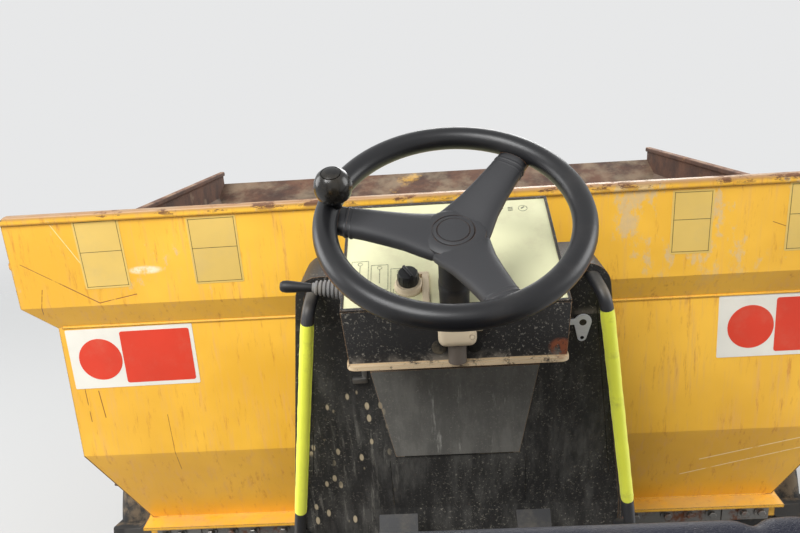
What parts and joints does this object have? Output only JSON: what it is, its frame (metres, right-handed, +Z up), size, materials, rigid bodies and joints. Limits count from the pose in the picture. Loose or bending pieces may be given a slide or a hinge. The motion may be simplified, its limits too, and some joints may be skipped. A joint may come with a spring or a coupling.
{
  "type": "articulated site dumper",
  "caption": "Articulated site dumper with a forward-tipping skip on rams, centre pivot steering, open seat with console, folding roll hoop and rear engine bonnet.",
  "frame": {"origin": "on the ground, under the middle of the machine's bounding box", "axes": "+Y forward towards the skip's lip, +X to the operator's right, +Z up"},
  "size_m": [2.16, 4.23, 2.9503],
  "materials": {
    "skip_paint": "worn orange-yellow enamel with scratches, rust and dust",
    "bonnet_paint": "orange-yellow enamel, light dust",
    "chassis_paint": "black chassis enamel, dusty",
    "console_black": "black textured enamel, dusty and worn",
    "dash_cream": "cream printed panel, no text",
    "grip_plastic": "black soft-feel plastic",
    "gloss_black": "gloss black knob",
    "hi_vis": "yellow-green sleeve over black tube",
    "tyre_rubber": "dusty tyre rubber",
    "rim_paint": "pale enamel, dirty",
    "flap_rubber": "black rubber sheet",
    "bare_steel": "grey steel, rusty edges",
    "rod_chrome": "hard chrome rod",
    "engine_iron": "painted cast iron",
    "seat_vinyl": "dark navy vinyl",
    "hoop_paint": "black enamel",
    "beacon_amber": "amber lens on a black foot",
    "lamp_red": "red lens",
    "pedal_steel": "worn black enamel on steel"
  },
  "bodies": {
    "rear_chassis": {"rear_frame": "chassis_paint", "rear_axle": "chassis_paint", "engine_block": "engine_iron", "platform": "chassis_paint", "fuel_tank": "chassis_paint", "oil_tank": "chassis_paint", "console_body": "console_black", "dash_panel": "dash_cream", "steering_column": "console_black", "hand_controls": "grip_plastic", "handrails": "hi_vis", "pedals": "pedal_steel", "seat_base": "console_black", "seat_cushion": "seat_vinyl", "seat_backrest": "seat_vinyl", "rops_lower": "hoop_paint", "mudguards": "chassis_paint", "bumper": "chassis_paint", "tail_lamps": "lamp_red", "exhaust": "bare_steel"},
    "yoke": {"pivot_yoke": "chassis_paint"},
    "front_chassis": {"front_frame": "chassis_paint", "front_axle": "chassis_paint"},
    "skip": {"skip": "skip_paint", "skip_flaps": "flap_rubber", "flap_strips": "bare_steel"},
    "steer_barrel": {"steer_barrel": "chassis_paint"},
    "steer_rod": {"steer_rod": "rod_chrome"},
    "steering_wheel": {"steering_wheel": "grip_plastic", "spinner_knob": "gloss_black"},
    "bonnet": {"bonnet": "bonnet_paint"},
    "rops_upper": {"rops_upper": "hoop_paint", "beacon": "beacon_amber"},
    "wheel_front_left": {"tyre_front_left": "tyre_rubber", "rim_front_left": "rim_paint"},
    "wheel_front_right": {"tyre_front_right": "tyre_rubber", "rim_front_right": "rim_paint"},
    "wheel_rear_left": {"tyre_rear_left": "tyre_rubber", "rim_rear_left": "rim_paint"},
    "wheel_rear_right": {"tyre_rear_right": "tyre_rubber", "rim_rear_right": "rim_paint"},
    "tip_barrel_left": {"tip_barrel_left": "chassis_paint"},
    "tip_rod_left": {"tip_rod_left": "rod_chrome"},
    "tip_barrel_right": {"tip_barrel_right": "chassis_paint"},
    "tip_rod_right": {"tip_rod_right": "rod_chrome"}
  },
  "joints": [
    {"name": "artic_steer", "type": "hinge", "parent": "rear_chassis", "child": "yoke", "pos_m": [0, -0.07, 0.6], "axis": [0, 0, 1], "range_deg": [-30, 30]},
    {"name": "chassis_roll", "type": "hinge", "parent": "yoke", "child": "front_chassis", "pos_m": [0, 0.1, 0.6], "axis": [0, 1, 0], "range_deg": [-10, 10]},
    {"name": "skip_tip", "type": "hinge", "parent": "front_chassis", "child": "skip", "pos_m": [0, 1.64, 0.9], "axis": [-1, 0, 0], "range_deg": [0, 65]},
    {"name": "steer_ram_swing", "type": "hinge", "parent": "rear_chassis", "child": "steer_barrel", "pos_m": [0.175, -0.64, 0.6], "axis": [0, 0, 1], "range_deg": [-1.5, 1.5]},
    {"name": "steer_ram_slide", "type": "slide", "parent": "steer_barrel", "child": "steer_rod", "axis": [-0.0263, 0.9997, 0], "range_m": [-0.082, 0.082]},
    {"name": "steering_turn", "type": "hinge", "parent": "rear_chassis", "child": "steering_wheel", "pos_m": [0, -0.245, 1.9], "axis": [0, -0.4772, 0.8788], "continuous": true},
    {"name": "bonnet_open", "type": "hinge", "parent": "rear_chassis", "child": "bonnet", "pos_m": [0, -2.054, 1.154], "axis": [1, 0, 0], "range_deg": [0, 60]},
    {"name": "rops_fold", "type": "hinge", "parent": "rear_chassis", "child": "rops_upper", "pos_m": [0, -1.01, 1.9], "axis": [-1, 0, 0], "range_deg": [-100, 0]},
    {"name": "spin_front_left", "type": "hinge", "parent": "front_chassis", "child": "wheel_front_left", "pos_m": [-0.88, 1.105, 0.54], "axis": [1, 0, 0], "continuous": true},
    {"name": "spin_front_right", "type": "hinge", "parent": "front_chassis", "child": "wheel_front_right", "pos_m": [0.88, 1.105, 0.54], "axis": [1, 0, 0], "continuous": true},
    {"name": "spin_rear_left", "type": "hinge", "parent": "rear_chassis", "child": "wheel_rear_left", "pos_m": [-0.88, -1.245, 0.54], "axis": [1, 0, 0], "continuous": true},
    {"name": "spin_rear_right", "type": "hinge", "parent": "rear_chassis", "child": "wheel_rear_right", "pos_m": [0.88, -1.245, 0.54], "axis": [1, 0, 0], "continuous": true},
    {"name": "tip_ram_swing_left", "type": "hinge", "parent": "front_chassis", "child": "tip_barrel_left", "pos_m": [-0.18, 0.33, 0.62], "axis": [1, 0, 0], "range_deg": [0, 9.2]},
    {"name": "tip_ram_slide_left", "type": "slide", "parent": "tip_barrel_left", "child": "tip_rod_left", "axis": [0, 0.8844, 0.4668], "range_m": [0, 0.625]},
    {"name": "tip_ram_swing_right", "type": "hinge", "parent": "front_chassis", "child": "tip_barrel_right", "pos_m": [0.18, 0.33, 0.62], "axis": [1, 0, 0], "range_deg": [0, 9.2]},
    {"name": "tip_ram_slide_right", "type": "slide", "parent": "tip_barrel_right", "child": "tip_rod_right", "axis": [0, 0.8844, 0.4668], "range_m": [0, 0.625]}
  ],
  "couplings": [
    {"joint": "steer_ram_swing", "follows": "artic_steer", "ratio": -0.01741},
    {"joint": "steer_ram_slide", "follows": "artic_steer", "m_per_rad": 0.15247},
    {"joint": "tip_ram_swing_left", "follows": "skip_tip", "ratio": 0.13599},
    {"joint": "tip_ram_slide_left", "follows": "skip_tip", "m_per_rad": 0.54748},
    {"joint": "tip_ram_swing_right", "follows": "skip_tip", "ratio": 0.13599},
    {"joint": "tip_ram_slide_right", "follows": "skip_tip", "m_per_rad": 0.54748}
  ]
}
